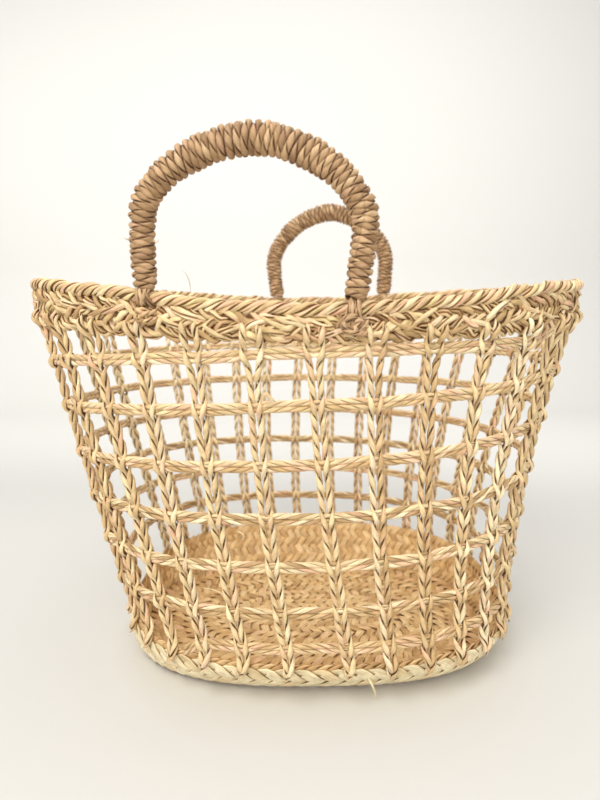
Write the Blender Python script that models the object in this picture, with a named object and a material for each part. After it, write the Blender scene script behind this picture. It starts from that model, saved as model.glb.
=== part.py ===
"""Woven market basket: an open mesh of twisted palm-leaf cords between a plaited base and a plaited rim.

Frame: origin on the ground under the middle of the base, +X to the basket's right along its long side,
+Y to its back, +Z up.  Metres.  The front handle stands on the -Y side.

How it is put together
  base      two flat plaits sewn side by side make the floor, and a third, turned up, makes the tray wall
  mesh      32 stakes, each a folded pair of twisted cords, hooked over the tray wall.  One doubled cord,
            the weft, winds round the basket and passes between the two plies of every stake
  rim       three plaited rows, one above the other
  handles   a rope arch under a wound sleeve.  Each foot ends in a loop round the rim's top row, so the
            handle swings about the line through its two loops
"""

import math

import bmesh
import bpy
import numpy as np
from mathutils import Vector

# ---------------------------------------------------------------- driving dimensions
GAP = 0.0003

# The wall's mid surface, between level 0 (tray edge) and level 1 (underside of the rim).
HALF_WIDTH = (0.1570, 0.1830, 0.2153)  # at levels 0, 1/2 and 1
HALF_DEPTH = (0.142, 0.149, 0.159)
ROUNDNESS = (2.55, 2.2)  # superellipse exponent at levels 0 and 1
SHIFT_X = (0.0035, -0.0060, -0.0063)  # the wall leans to the left as it rises
SHIFT_Y = (0.0, 0.002, 0.004)
TRAY_TOP = 0.0345
MESH_TOP = 0.2670
FRONT_SAG = 0.012  # how far the mouth dips in the middle of the front
BACK_RISE = 0.003
TWIST = math.radians(3.0)  # the stakes lean: their lower ends are turned this far round

# Base
FLOOR_HALF_WIDTH = 0.1465
FLOOR_HALF_DEPTH = 0.1065
FLOOR_ROUNDNESS = 2.75
FLOOR_THICKNESS = 0.0036
CENTRE_HALF_WIDTH = 0.0890
CENTRE_HALF_DEPTH = 0.0560
TRAY_THICKNESS = 0.0034
TRAY_FOOT_OUT = 0.0025  # the tray wall starts this far outside the floor
TRAY_BULGE = 0.0030

# Mesh cords
STAKES = 32
FIRST_STAKE = math.radians(270.0)  # the angle of the first one's upper end
STAKE_WIDTH = 0.0110
STAKE_HALF = 0.0028  # half thickness where the plies lie together
PLY = 0.0021
WEFT_HALF_HEIGHT = 0.0045
WEFT_HALF_THICKNESS = 0.0021
WEFT_BEND_PLAY = 0.0010  # the weft's corner at a stake points outwards
WINDOW_HALF = 0.0058
RIM_CLEARANCE = 0.0012  # between a stake and the rim's underside
STAKE_START = 0.0065  # the stakes turn over the tray's edge this far above it
STAKE_FOOT = 0.22  # share of the tray wall that a stake's foot reaches down its outside
WEFT_FRONT_LEVELS = (0.966, 0.812, 0.634, 0.470, 0.319, 0.172, 0.0585)  # row heights at the front
WEFT_LEFT_LEVELS = (0.850, 0.710, 0.569, 0.430, 0.291, 0.155, 0.047)
WEFT_BACK_LEVELS = (0.885, 0.722, 0.572, 0.426, 0.287, 0.150, 0.040)
WEFT_RIGHT_LEVELS = (0.990, 0.868, 0.720, 0.542, 0.387, 0.239, 0.108)  # where each row starts
WEFT_START = 0.25 * math.pi  # it comes out from under the rim at the front right
WEFT_TOP_LIMIT = 0.968
WEFT_LOW_LIMIT = 0.054

# Rim
RIM_OFFSET = -0.0012
RIM_FLARE = 0.13  # the rim leans outwards by this much of its height
RIM_HALF_THICKNESS = 0.0042
ROPE_RADIUS = 0.0045
RIM_HEIGHT_FRONT = 0.0225
RIM_HEIGHT_BACK = 0.0250
RIM_HEIGHT_END = 0.0330
RIM_HEIGHT_POWER = 7.0  # it stays high until well round the ends
RIM_STATIONS = 40
NOTCH_DEPTH = 0.0045
NOTCH_SHARE = 0.4  # how much of the notch the lower row gives way
NOTCH_HALF = 0.0065
NOTCH_RAMP = 0.0020
RIM_CORNER = 0.0016  # cut off the corners of the two flat rows

# Handles
FRONT_FEET_X = (-0.1100, 0.0178)
BACK_FEET_X = (-0.0345, 0.0840)
ARCH_HEIGHT = 0.0957  # from the swing axis to the middle of the arch's top
ARCH_SHOULDER = {"front": 0.050, "back": 0.042}  # from the axis to where the legs start bending over
ARCH_BULGE = 0.0032  # how far the shoulders stand out sideways past the feet
ARCH_LEAN = 0.0012  # the top sits this far to the right
ARCH_POWER = 1.72  # below 2: the shoulders are flatter than an ellipse's
CORE_RADIUS = 0.0046
SLEEVE_INNER = 0.0049
SLEEVE_RADIUS = {"front": 0.0078, "back": 0.0087}  # on the legs
SLEEVE_TOP_RADIUS = 0.0101
LEG_SEGMENTS = 4
ARCH_SEGMENTS = 16
LOOP_INNER = 0.0063
LOOP_OUTER = 0.0085
LOOP_WIDTH = 0.0080
ARCH_GAP = 0.0010  # between a loop and the end of its arch
LASHING_WIDTH = 0.0180
LASHING_THICKNESS = 0.0026
LASHING_LOW = 0.0012  # its lower edge above the rim's underside
LASHING_SLOPE = 0.0010
LASHING_TAPER = 0.35

COLOURS = {
    "stake_cord": (0.70, 0.54, 0.31),
    "weft_cord": (0.66, 0.50, 0.28),
    "rim_plait": (0.62, 0.47, 0.26),
    "base_plait": (0.68, 0.52, 0.29),
    "handle_core": (0.45, 0.31, 0.17),
    "handle_wrap": (0.42, 0.28, 0.16),
}


# ---------------------------------------------------------------- the wall's surface
def through(values, level):
    """A parabola through values at levels 0, 1/2 and 1."""
    low, middle, high = values
    below = low * (1 - level) * (1 - 2 * level)
    above = high * level * (2 * level - 1)
    return below + middle * 4 * level * (1 - level) + above


def superellipse(half_x, half_y, power, angle):
    c, s = math.cos(angle), math.sin(angle)
    return (
        half_x * math.copysign(abs(c) ** (2 / power), c),
        half_y * math.copysign(abs(s) ** (2 / power), s),
    )


def wall_point(angle, level):
    power = ROUNDNESS[0] + (ROUNDNESS[1] - ROUNDNESS[0]) * level
    x, y = superellipse(through(HALF_WIDTH, level), through(HALF_DEPTH, level), power, angle)
    upper = max(level, 0.0) ** 1.5
    front = max(-math.sin(angle), 0.0) ** 2
    back = max(math.sin(angle), 0.0) ** 2
    z = TRAY_TOP + (MESH_TOP - TRAY_TOP) * level - FRONT_SAG * upper * front + BACK_RISE * upper * back
    return Vector((x + through(SHIFT_X, level), y + through(SHIFT_Y, level), z))


def wall_frame(angle, level):
    """The point, and unit vectors outwards, along the ring and up the wall."""
    step = 0.004
    point = wall_point(angle, level)
    along = wall_point(angle + step, level) - wall_point(angle - step, level)
    up = wall_point(angle, level + step) - wall_point(angle, level - step)
    out = along.cross(up).normalized()
    along.normalize()
    return point, out, along, out.cross(along)


def equal_steps(count, start_angle, level):
    """Angles that divide the ring at this level into equal lengths, beginning at start_angle."""
    angles = np.linspace(start_angle, start_angle + 2 * math.pi, 2881)
    points = np.array([wall_point(a, level)[:] for a in angles])
    lengths = np.concatenate([[0.0], np.cumsum(np.linalg.norm(np.diff(points, axis=0), axis=1))])
    wanted = np.arange(count) / count * lengths[-1]
    return [float(a) for a in np.interp(wanted, lengths, angles)]


# ---------------------------------------------------------------- mesh helpers
def material(name):
    found = bpy.data.materials.get(name)
    if found:
        return found
    made = bpy.data.materials.new(name)
    made.use_nodes = True
    shader = made.node_tree.nodes["Principled BSDF"]
    shader.inputs["Base Color"].default_value = (*COLOURS[name], 1.0)
    shader.inputs["Roughness"].default_value = 0.72
    shader.inputs["Metallic"].default_value = 0.0
    return made


def add_object(name, points, faces, slot, origin=None):
    """One closed piece.  Its origin is moved to origin, which is on the joint axis of a moving piece."""
    home = origin or Vector((0.0, 0.0, 0.0))
    mesh = bpy.data.meshes.new(name)
    mesh.from_pydata([tuple(Vector(p) - home) for p in points], [], faces)
    work = bmesh.new()
    work.from_mesh(mesh)
    bmesh.ops.recalc_face_normals(work, faces=work.faces)
    work.to_mesh(mesh)
    work.free()
    mesh.materials.append(material(slot))
    mesh.shade_smooth()
    mesh.set_sharp_from_angle(angle=math.radians(40))
    made = bpy.data.objects.new(name, mesh)
    made.location = home
    bpy.context.scene.collection.objects.link(made)
    return made


def ring_faces(stations, corners, closed):
    """Faces of a sweep: stations rings of corners points each, with end caps if it isn't closed."""
    faces = []
    for i in range(stations if closed else stations - 1):
        j = (i + 1) % stations
        for k in range(corners):
            n = (k + 1) % corners
            faces.append((i * corners + k, i * corners + n, j * corners + n, j * corners + k))
    if not closed:
        faces.append(tuple(range(corners)))
        faces.append(tuple(range((stations - 1) * corners, stations * corners)))
    return faces


# ---------------------------------------------------------------- base
def base_ring(angle, half_width, half_depth):
    return superellipse(half_width, half_depth, FLOOR_ROUNDNESS, angle)


def build_floor():
    steps = 40
    angles = [2 * math.pi * i / steps for i in range(steps)]
    points = []
    for z in (0.0, FLOOR_THICKNESS):
        points += [(*base_ring(a, CENTRE_HALF_WIDTH, CENTRE_HALF_DEPTH), z) for a in angles]
    faces = [tuple(range(steps)), tuple(range(steps, 2 * steps))]
    faces += [(i, (i + 1) % steps, steps + (i + 1) % steps, steps + i) for i in range(steps)]
    add_object("base_centre_plait", points, faces, "base_plait")
    points = []
    for a in angles:
        inner = base_ring(a, CENTRE_HALF_WIDTH + 3 * GAP, CENTRE_HALF_DEPTH + 3 * GAP)
        outer = base_ring(a, FLOOR_HALF_WIDTH, FLOOR_HALF_DEPTH)
        points += [(*inner, 0.0), (*outer, 0.0), (*outer, FLOOR_THICKNESS), (*inner, FLOOR_THICKNESS)]
    add_object("base_ring_plait", points, ring_faces(steps, 4, True), "base_plait")


def tray_point(angle, height, offset):
    """A point of the turned-up tray wall: height 0 at the floor, 1 at its upper edge."""
    low = Vector((*base_ring(angle, FLOOR_HALF_WIDTH + TRAY_FOOT_OUT, FLOOR_HALF_DEPTH + TRAY_FOOT_OUT), 0.0))
    edge = wall_point(angle, 0.0)
    bulge = TRAY_BULGE * math.sin(math.pi * height)
    level = low.lerp(edge, height)
    out = Vector((edge.x / HALF_WIDTH[0] ** 2, edge.y / HALF_DEPTH[0] ** 2, 0.0)).normalized()
    return level + out * (bulge + offset)


def build_tray_wall():
    steps = 48
    heights = (0.0, 0.33, 0.68, 1.0)
    half = TRAY_THICKNESS / 2
    points = []
    for i in range(steps):
        a = 2 * math.pi * i / steps
        points += [tray_point(a, h, half) for h in heights]
        points += [tray_point(a, h, -half) for h in reversed(heights)]
    add_object("tray_wall_plait", points, ring_faces(steps, 2 * len(heights), True), "base_plait")


# ---------------------------------------------------------------- mesh
def weft_level(turned):
    """The weft's level after it has turned this far, clockwise from the basket's right end."""
    quarters = zip(WEFT_RIGHT_LEVELS, WEFT_FRONT_LEVELS, WEFT_LEFT_LEVELS, WEFT_BACK_LEVELS)
    levels = [level for row in quarters for level in row]
    marks = [math.pi / 2 * i for i in range(len(levels))]
    return min(float(np.interp(turned, marks, levels)), WEFT_TOP_LIMIT)


def stake_angle(top_angle, level):
    return top_angle + TWIST * (1 - level)


def crossings(top_angles):
    """Every meeting of the weft and a stake, from the top, as (weft turn, stake, level)."""
    met = []
    turns = len(WEFT_FRONT_LEVELS)
    for stake, top in enumerate(top_angles):
        for lap in range(turns + 3):
            level = 0.5
            for _ in range(12):
                turned = 2 * math.pi * lap - stake_angle(top, level)
                level = weft_level(turned)
            if level > WEFT_LOW_LIMIT and WEFT_START <= turned <= 2 * math.pi * turns:
                met.append((turned, stake, level))
    met.sort()
    return met


def build_weft(met, top_angles):
    points = []
    for _, stake, level in met:
        centre, out, _, up = wall_frame(stake_angle(top_angles[stake], level), level)
        for across, high in ((1, -1), (1, 1), (-1, 1), (-1, -1)):
            points.append(centre + out * WEFT_HALF_THICKNESS * across + up * WEFT_HALF_HEIGHT * high)
    add_object("weft_double_cord", points, ring_faces(len(met), 4, False), "weft_cord")


def stake_stations(levels, low, high):
    """Levels along a stake, between low and high, where a window for the weft starts or ends."""
    length = MESH_TOP - TRAY_TOP
    half = WINDOW_HALF / length
    stations = [low]
    for level in sorted(levels):
        stations += [level - half, level + half]
    return stations + [high]


def build_stake(name, top, levels):
    """A prism with one window per weft row.  Each station has eight corners: four depths on both sides."""
    wall = MESH_TOP - TRAY_TOP
    low = STAKE_START / wall
    stations = stake_stations(levels, low, 1.0 - RIM_CLEARANCE / wall)
    depths = (STAKE_HALF + PLY, STAKE_HALF, -STAKE_HALF - WEFT_BEND_PLAY, -STAKE_HALF - WEFT_BEND_PLAY - PLY)
    flat = (STAKE_HALF, STAKE_HALF * 0.6, -STAKE_HALF * 0.6, -STAKE_HALF)
    points = []
    _, foot_out, foot_along, _ = wall_frame(stake_angle(top, low), low)
    edge = TRAY_THICKNESS / 2 + STAKE_HALF + 2 * GAP
    tip = tray_point(stake_angle(top, 0.0), 1.0 - STAKE_FOOT, edge)
    shoulder = tray_point(stake_angle(top, 0.0), 1.0, edge)
    corners = [(tip, foot_out, foot_along, flat), (shoulder, foot_out, foot_along, flat)]
    for i, level in enumerate(stations):
        centre, out, along, _ = wall_frame(stake_angle(top, level), level)
        corners.append((centre, out, along, depths if 0 < i < len(stations) - 1 else flat))
    for centre, out, along, offsets in corners:
        for side in (1, -1):
            for offset in offsets:
                points.append(centre + out * offset + along * (side * STAKE_WIDTH / 2))
    faces = []
    last = len(corners) - 1
    for i in range(last):
        a, b = 8 * i, 8 * (i + 1)
        window = 2 < i < last and i % 2 == 1
        strips = ((0, 1), (2, 3)) if window else ((0, 1), (1, 2), (2, 3))
        for inner, outer in strips:
            faces.append((a + inner, a + outer, b + outer, b + inner))
            faces.append((a + 4 + outer, a + 4 + inner, b + 4 + inner, b + 4 + outer))
        faces.append((a, b, b + 4, a + 4))
        faces.append((a + 3, a + 7, b + 7, b + 3))
        if window:
            faces.append((a + 1, a + 5, b + 5, b + 1))
            faces.append((a + 2, b + 2, b + 6, a + 6))
            faces.append((a + 1, a + 2, a + 6, a + 5))
            faces.append((b + 1, b + 5, b + 6, b + 2))
    for end in (0, last * 8):
        for k in range(3):
            faces.append((end + k, end + k + 1, end + 5 + k, end + 4 + k))
    add_object(name, points, faces, "stake_cord")


def build_mesh():
    top_angles = equal_steps(STAKES, FIRST_STAKE, 1.0)
    met = crossings(top_angles)
    build_weft(met, top_angles)
    for stake, top in enumerate(top_angles):
        build_stake(f"stake_{stake + 1:02d}", top, [level for _, s, level in met if s == stake])


# ---------------------------------------------------------------- rim
def rim_height(angle):
    across = abs(math.sin(angle)) ** RIM_HEIGHT_POWER
    middle = RIM_HEIGHT_FRONT if math.sin(angle) < 0 else RIM_HEIGHT_BACK
    return RIM_HEIGHT_END + (middle - RIM_HEIGHT_END) * across


def rim_point(angle, across, high):
    """A point of the rim: across outwards from its leaning centre plane and high above its foot."""
    point, _, along, _ = wall_frame(angle, 1.0)
    out = Vector((along.y, -along.x, 0.0)).normalized()
    return point + out * (RIM_OFFSET + RIM_FLARE * high + across) + Vector((0.0, 0.0, high))


def rope_centre(angle):
    return rim_point(angle, 0.0, rim_height(angle) - ROPE_RADIUS)


def angle_at_x(x, back):
    """The angle whose rim rope is at this x, on the front or on the back."""
    low, high = (0.0, math.pi) if back else (2 * math.pi, math.pi)
    for _ in range(60):
        middle = (low + high) / 2
        if rope_centre(middle).x > x:
            low = middle
        else:
            high = middle
    return (low + high) / 2


def rim_stations(feet):
    """Even steps round the rim, with extra ones at each foot where the middle row dips."""
    angles = {round(a % (2 * math.pi), 6) for a in equal_steps(RIM_STATIONS, 0.0, 1.0)}
    for foot in feet:
        pace = (rope_centre(foot + 0.01) - rope_centre(foot - 0.01)).length / 0.02
        reach = (NOTCH_HALF + NOTCH_RAMP) / pace
        angles = {a for a in angles if abs(a - foot) > reach + 0.02}
        for step in (-reach, -NOTCH_HALF / pace, 0.0, NOTCH_HALF / pace, reach):
            angles.add(round(foot + step, 6))
    return sorted(angles)


def notch(angle, feet):
    """How far the middle row dips here to let a handle's loop pass under the top row."""
    depth = 0.0
    for foot in feet:
        away = (rope_centre(angle) - rope_centre(foot)).length
        share = min(max((NOTCH_HALF + NOTCH_RAMP - away) / NOTCH_RAMP, 0.0), 1.0)
        depth = max(depth, NOTCH_DEPTH * share)
    return depth


def rim_section(low, high):
    """A flat row's section with its corners taken off: (outwards, up) pairs."""
    half = RIM_HALF_THICKNESS
    inner = half - RIM_CORNER
    foot = low + RIM_CORNER
    head = high - RIM_CORNER
    return (
        (-half, foot),
        (-inner, low),
        (inner, low),
        (half, foot),
        (half, head),
        (inner, high),
        (-inner, high),
        (-half, head),
    )


def build_rim(feet):
    stations = rim_stations(feet)
    rows = {"rim_lower_plait": [], "rim_middle_plait": [], "rim_upper_plait": []}
    for angle in stations:
        height = rim_height(angle)
        rope_low = height - 2 * ROPE_RADIUS
        split = rope_low / 2
        dip = notch(angle, feet)
        lower = rim_section(0.0, split - GAP / 2 - dip * NOTCH_SHARE)
        middle = rim_section(split + GAP / 2 - dip * NOTCH_SHARE, rope_low - GAP - dip)
        rope = []
        for k in range(8):
            turn = math.pi * (k + 0.5) / 4
            rope.append((ROPE_RADIUS * math.cos(turn), height - ROPE_RADIUS + ROPE_RADIUS * math.sin(turn)))
        for name, section in zip(rows, (lower, middle, rope)):
            rows[name] += [rim_point(angle, across, high) for across, high in section]
    for name, points in rows.items():
        add_object(name, points, ring_faces(len(stations), 8, True), "rim_plait")


# ---------------------------------------------------------------- handles
def handle_frame(feet):
    """The middle of the swing axis and unit vectors along it, across it and up, from its two feet."""
    left, right = (rope_centre(a) for a in feet)
    along = (right - left).normalized()
    up = (Vector((0.0, 0.0, 1.0)) - along * along.z).normalized()
    return (left + right) / 2, along, up.cross(along), up, (right - left).length / 2


def arch_line(side, half_span):
    """The arch's centre line as (along, up) pairs, from the left foot over the top to the right foot."""
    start = LOOP_OUTER + ARCH_GAP
    shoulder = ARCH_SHOULDER[side]
    reach = half_span + ARCH_BULGE
    leg = []
    for i in range(LEG_SEGMENTS):
        share = i / LEG_SEGMENTS
        wide = half_span + ARCH_BULGE * math.sin(math.pi / 2 * share)
        leg.append((wide, start + (shoulder - start) * share))
    line = [(-wide, high) for wide, high in leg]
    for i in range(ARCH_SEGMENTS + 1):
        turn = math.pi * (1 - i / ARCH_SEGMENTS)
        sideways = math.copysign(abs(math.cos(turn)) ** (2 / ARCH_POWER), math.cos(turn))
        rise = abs(math.sin(turn)) ** (2 / ARCH_POWER)
        line.append((reach * sideways + ARCH_LEAN * rise**2, shoulder + (ARCH_HEIGHT - shoulder) * rise))
    return line + leg[::-1]


def sleeve_radius(side, share):
    """The sleeve's outer radius at this share of the way round the arch: it is thickest on top."""
    low = SLEEVE_RADIUS[side]
    return low + (SLEEVE_TOP_RADIUS - low) * math.sin(math.pi * share) ** 2


def sweep_arch(line, radii, frame, sides):
    """Rings of points along the arch; a tube for one radius per point, a hollow sleeve for two."""
    middle, along, across, up, _ = frame
    points = []
    for i, (s, v) in enumerate(line):
        before = line[max(i - 1, 0)]
        after = line[min(i + 1, len(line) - 1)]
        if i in (0, len(line) - 1):
            tangent = Vector((0.0, 1.0)) if i == 0 else Vector((0.0, -1.0))
        else:
            tangent = Vector((after[0] - before[0], after[1] - before[1])).normalized()
        normal = along * -tangent.y + up * tangent.x
        centre = middle + along * s + up * v
        for radius, order in zip(radii[i], (1, -1)):
            for k in range(sides):
                turn = 2 * math.pi * order * k / sides
                points.append(centre + (normal * math.cos(turn) + across * math.sin(turn)) * radius)
    return points


def sleeve_faces(stations, sides):
    """Faces of a hollow sleeve whose stations hold an outer ring and an inner ring turned the other way."""
    faces = []
    for i in range(stations - 1):
        a, b = 2 * sides * i, 2 * sides * (i + 1)
        for ring in (0, sides):
            for k in range(sides):
                n = (k + 1) % sides
                faces.append((a + ring + k, a + ring + n, b + ring + n, b + ring + k))
    for end in (0, 2 * sides * (stations - 1)):
        for k in range(sides):
            n = (k + 1) % sides
            inner = end + sides
            faces.append((end + k, end + n, inner + (sides - n) % sides, inner + (sides - k) % sides))
    return faces


def build_loop(name, centre, frame):
    """A short band round the rim's top row, round the swing axis."""
    _, along, across, up, _ = frame
    steps = 16
    points = []
    for i in range(steps):
        turn = 2 * math.pi * i / steps
        outwards = across * math.cos(turn) + up * math.sin(turn)
        for radius, side in ((LOOP_OUTER, 1), (LOOP_OUTER, -1), (LOOP_INNER, -1), (LOOP_INNER, 1)):
            spread = radius / math.cos(math.pi / steps) if radius == LOOP_INNER else radius
            points.append(centre + outwards * spread + along * (side * LOOP_WIDTH / 2))
    add_object(name, points, ring_faces(steps, 4, True), "handle_wrap", frame[0])


def build_handle(side, feet):
    frame = handle_frame(feet)
    line = arch_line(side, frame[4])
    core = sweep_arch(line, [(CORE_RADIUS,)] * len(line), frame, 8)
    add_object(f"{side}_handle_core", core, ring_faces(len(line), 8, False), "handle_core", frame[0])
    bore = SLEEVE_INNER / math.cos(math.pi / 8)
    last = len(line) - 1
    sleeve = sweep_arch(line, [(sleeve_radius(side, i / last), bore) for i in range(last + 1)], frame, 8)
    add_object(f"{side}_handle_wrap", sleeve, sleeve_faces(len(line), 8), "handle_wrap", frame[0])
    for where, foot in zip(("left", "right"), feet):
        build_loop(f"{side}_{where}_loop", rope_centre(foot), frame)


def build_lashing(name, foot):
    """A pad of binding cord on the rim's face under a handle's foot, clear of the loop above it."""
    low = LASHING_LOW
    high = rim_height(foot) - ROPE_RADIUS - LOOP_OUTER - 2 * GAP
    pace = (rope_centre(foot + 0.01) - rope_centre(foot - 0.01)).length / 0.02
    points = []
    for share in (-1.0, -0.5, 0.0, 0.5, 1.0):
        angle = foot + share * LASHING_WIDTH / 2 / pace
        inner = RIM_HALF_THICKNESS + 3 * GAP
        outer = inner + LASHING_THICKNESS * (1.0 - LASHING_TAPER * abs(share))
        section = (
            (inner, low),
            (outer, low + LASHING_SLOPE),
            (outer, high - LASHING_SLOPE),
            (inner, high),
        )
        points += [rim_point(angle, across, z) for across, z in section]
    add_object(name, points, ring_faces(5, 4, False), "handle_wrap")


# ---------------------------------------------------------------- the basket
def main():
    for old in list(bpy.data.objects):
        bpy.data.objects.remove(old, do_unlink=True)
    front_feet = [angle_at_x(x, back=False) for x in FRONT_FEET_X]
    back_feet = [angle_at_x(x, back=True) for x in BACK_FEET_X]
    build_floor()
    build_tray_wall()
    build_mesh()
    build_rim(front_feet + back_feet)
    build_handle("front", front_feet)
    build_handle("back", back_feet)
    for side, feet in (("front", front_feet), ("back", back_feet)):
        for where, foot in zip(("left", "right"), feet):
            build_lashing(f"{side}_{where}_lashing", foot)


main()
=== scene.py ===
"""Looks of the woven market basket: every cord, plait and winding laid strand by strand over the CAD part.

The shape formulas are those of the CAD part, in metres: origin on the ground under the base, +X to the
basket's right, +Y to its back, +Z up.  Strands are swept tubes, with three attributes for the materials:
  grain   where a point lies on its strand, so that fibre streaks run along it
  strand  one random number per strand, which picks its shade
  crease  painted shade: 0 where a strand tucks in against its neighbour, 1 where it stands free
"""

import math

import bpy
import numpy as np
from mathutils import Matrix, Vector


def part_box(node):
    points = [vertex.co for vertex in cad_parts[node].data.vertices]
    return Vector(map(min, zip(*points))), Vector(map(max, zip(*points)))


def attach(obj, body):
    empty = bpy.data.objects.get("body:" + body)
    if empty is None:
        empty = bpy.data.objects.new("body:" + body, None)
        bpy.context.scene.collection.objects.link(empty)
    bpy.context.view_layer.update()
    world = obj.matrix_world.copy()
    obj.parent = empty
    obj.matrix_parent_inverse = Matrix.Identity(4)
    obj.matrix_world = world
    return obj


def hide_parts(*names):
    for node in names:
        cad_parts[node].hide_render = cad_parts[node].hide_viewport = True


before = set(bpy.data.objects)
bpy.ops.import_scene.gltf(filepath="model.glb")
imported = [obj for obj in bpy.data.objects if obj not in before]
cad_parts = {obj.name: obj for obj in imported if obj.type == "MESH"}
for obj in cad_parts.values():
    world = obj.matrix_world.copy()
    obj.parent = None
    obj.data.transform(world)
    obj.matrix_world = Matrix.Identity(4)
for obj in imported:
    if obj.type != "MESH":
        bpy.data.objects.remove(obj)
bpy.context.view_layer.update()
rng = np.random.default_rng(20)

# ---- the CAD part's dimensions
HALF_WIDTH = (0.157, 0.183, 0.2153)
HALF_DEPTH = (0.142, 0.149, 0.159)
ROUNDNESS = (2.55, 2.2)
SHIFT_X = (0.0035, -0.006, -0.0063)
SHIFT_Y = (0.0, 0.002, 0.004)
TRAY_TOP = 0.0345
MESH_TOP = 0.267
WALL = MESH_TOP - TRAY_TOP
FRONT_SAG = 0.012
BACK_RISE = 0.003
TWIST = math.radians(3.0)

FLOOR_HALF_WIDTH = 0.1465
FLOOR_HALF_DEPTH = 0.1065
FLOOR_ROUNDNESS = 2.75
FLOOR_THICKNESS = 0.0036
TRAY_THICKNESS = 0.0034
TRAY_FOOT_OUT = 0.0025
TRAY_BULGE = 0.003

STAKES = 32
FIRST_STAKE = math.radians(270.0)
STAKE_START = 0.0065
WEFT_HALF_THICKNESS = 0.0021
WEFT_FRONT_LEVELS = (0.966, 0.812, 0.634, 0.47, 0.319, 0.172, 0.0585)
WEFT_LEFT_LEVELS = (0.85, 0.71, 0.569, 0.43, 0.291, 0.155, 0.047)
WEFT_BACK_LEVELS = (0.885, 0.722, 0.572, 0.426, 0.287, 0.15, 0.04)
WEFT_RIGHT_LEVELS = (0.99, 0.868, 0.72, 0.542, 0.387, 0.239, 0.108)
WEFT_START = 0.25 * math.pi
WEFT_TOP_LIMIT = 0.968
WEFT_LOW_LIMIT = 0.054

RIM_OFFSET = -0.0012
RIM_FLARE = 0.13
ROPE_RADIUS = 0.0045
RIM_HEIGHT_FRONT = 0.0225
RIM_HEIGHT_BACK = 0.025
RIM_HEIGHT_END = 0.033
RIM_HEIGHT_POWER = 7.0
NOTCH_DEPTH = 0.0045
NOTCH_HALF = 0.0065
NOTCH_RAMP = 0.002

ARCH_HEIGHT = 0.0957
ARCH_SHOULDER = {"front": 0.05, "back": 0.042}
ARCH_BULGE = 0.0032
ARCH_LEAN = 0.0012
ARCH_POWER = 1.72

# ---- strands
STAKE_CORD_APART = 0.00262  # each cord of a stake sits this far to its side of the middle
STAKE_TOP_APART = 0.0047  # the same from the rim to the first weft row, where the two cords part
STAKE_PLY = (0.0015, 0.00128)  # half width and half thickness of a ply
STAKE_ORBIT = 0.00122
STAKE_LAY = 0.0112  # length of one lozenge
STAKE_STEP = 0.0018
STAKE_RIM_REACH = 0.011  # how far a stake's cords run up over the rim's lowest row
STAKE_FOOT_REACH = 0.28  # share of the tray wall that the feet come down over
STAKE_FOOT_LENGTH = 0.016  # the two cords of a stake cross over each other on this last stretch
STAKE_PARTING = 0.0052  # half length of the gap that a stake's plies open round the weft

WEFT_CORD_APART = 0.0019
WEFT_PLIES = 3
WEFT_PLY = (0.00128, 0.00096)
WEFT_ORBIT = 0.00122
WEFT_LAY = 0.0128
WEFT_STEP = 0.0023
WEFT_PINCH = 0.005  # half length over which a stake presses the weft's cords together

RING_START = math.radians(100)  # closed rings are joined here, at the back
RIM_PLY = (0.0015, 0.00106)
RIM_LAY = 0.034
ROPE_STRANDS = 4
ROPE_LAY = 0.037
ROPE_ORBIT = 0.0026  # of the rope's strands, round its centre line
ROPE_SHADE_FILLER = 0.0022  # radius of the filler inside the rope, darkened with painted shade
ROPE_PLY_ORBIT = 0.001
ROPE_STEP = 0.0021
BAND_STRANDS = 8
BAND_PITCH = 0.0076
BAND_ROWS = 3
BAND_AMPLITUDE = 0.0021  # how far the band's strands go in and out as they cross
BAND_PLY_ORBIT = 0.00092
BAND_STEP = 0.0025
BAND_SHADE_FILLER = (0.0026, 0.0011)  # half width and half thickness of the fillers behind it, dark with painted shade
BAND_SHADE_FILLER_HEIGHTS = (0.17, 0.5, 0.83)
BAND_FOOT = -0.0008  # the band's lower edge, from the top of the mesh
BAND_UNDER_ROPE = 0.0014  # how far the band runs up behind the rope
RIM_LOOSE_ENDS = 120
RIM_END_ORBIT = 0.00085
RIM_END_PROUD = 0.0037
RIM_END_CLEAR = 0.014  # no loose ends are worked in this close to a handle's foot

FLAT_STEP = 0.0024
FLOOR_STRIP_PITCH = 0.0086
TRAY_STRIP_PITCH = 0.0078
TRAY_EDGE_PITCH = 0.0122
FLOOR_BANDS = (  # name, outer inset, inner inset, CAD solid
    ("base_ring_outer", 0.0, 0.0285, "base_ring_plait"),
    ("base_ring_inner", 0.0288, 0.0572, "base_ring_plait"),
    ("base_centre_outer", 0.0576, 0.085, "base_centre_plait"),
    ("base_centre_inner", 0.0854, 0.1122, "base_centre_plait"),
)

WRAP_START = 0.0052  # the winding begins this far above the swing axis, just over the rope
WRAP_PITCH = {"front": 0.0043, "back": 0.0036}
WRAP_RADIUS = {"front": 0.0055, "back": 0.0064}  # of the winding cord's centre line, on the legs
WRAP_TOP_RADIUS = 0.0078
WRAP_PLY = (0.00178, 0.00122)
WRAP_ORBIT = 0.00105
WRAP_LAY = 0.0084
WRAP_SHADE_STATIONS = 34  # the winding changes shade after this many points
LOOP_RADIUS = 0.006
LOOP_PLACES = (-0.003, -0.001, 0.001, 0.003)  # of a foot's turns, along the rim
LOOP_PLY = (0.00118, 0.0009)
LOOP_ORBIT = 0.0007
LOOP_LAY = 0.011
LASHING_PLY = (0.00105, 0.0008)
LASHING_ORBIT = 0.00066
LASHING_LAY = 0.008

UP = np.array([0.0, 0.0, 1.0])
TURN = 2 * math.pi


# ---- vectors
def unit(a):
    return a / np.maximum(np.linalg.norm(a, axis=-1, keepdims=True), 1e-12)


def run_of(points):
    """Distance along a line of points."""
    return np.concatenate([[0.0], np.cumsum(np.linalg.norm(np.diff(points, axis=0), axis=1))])


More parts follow.
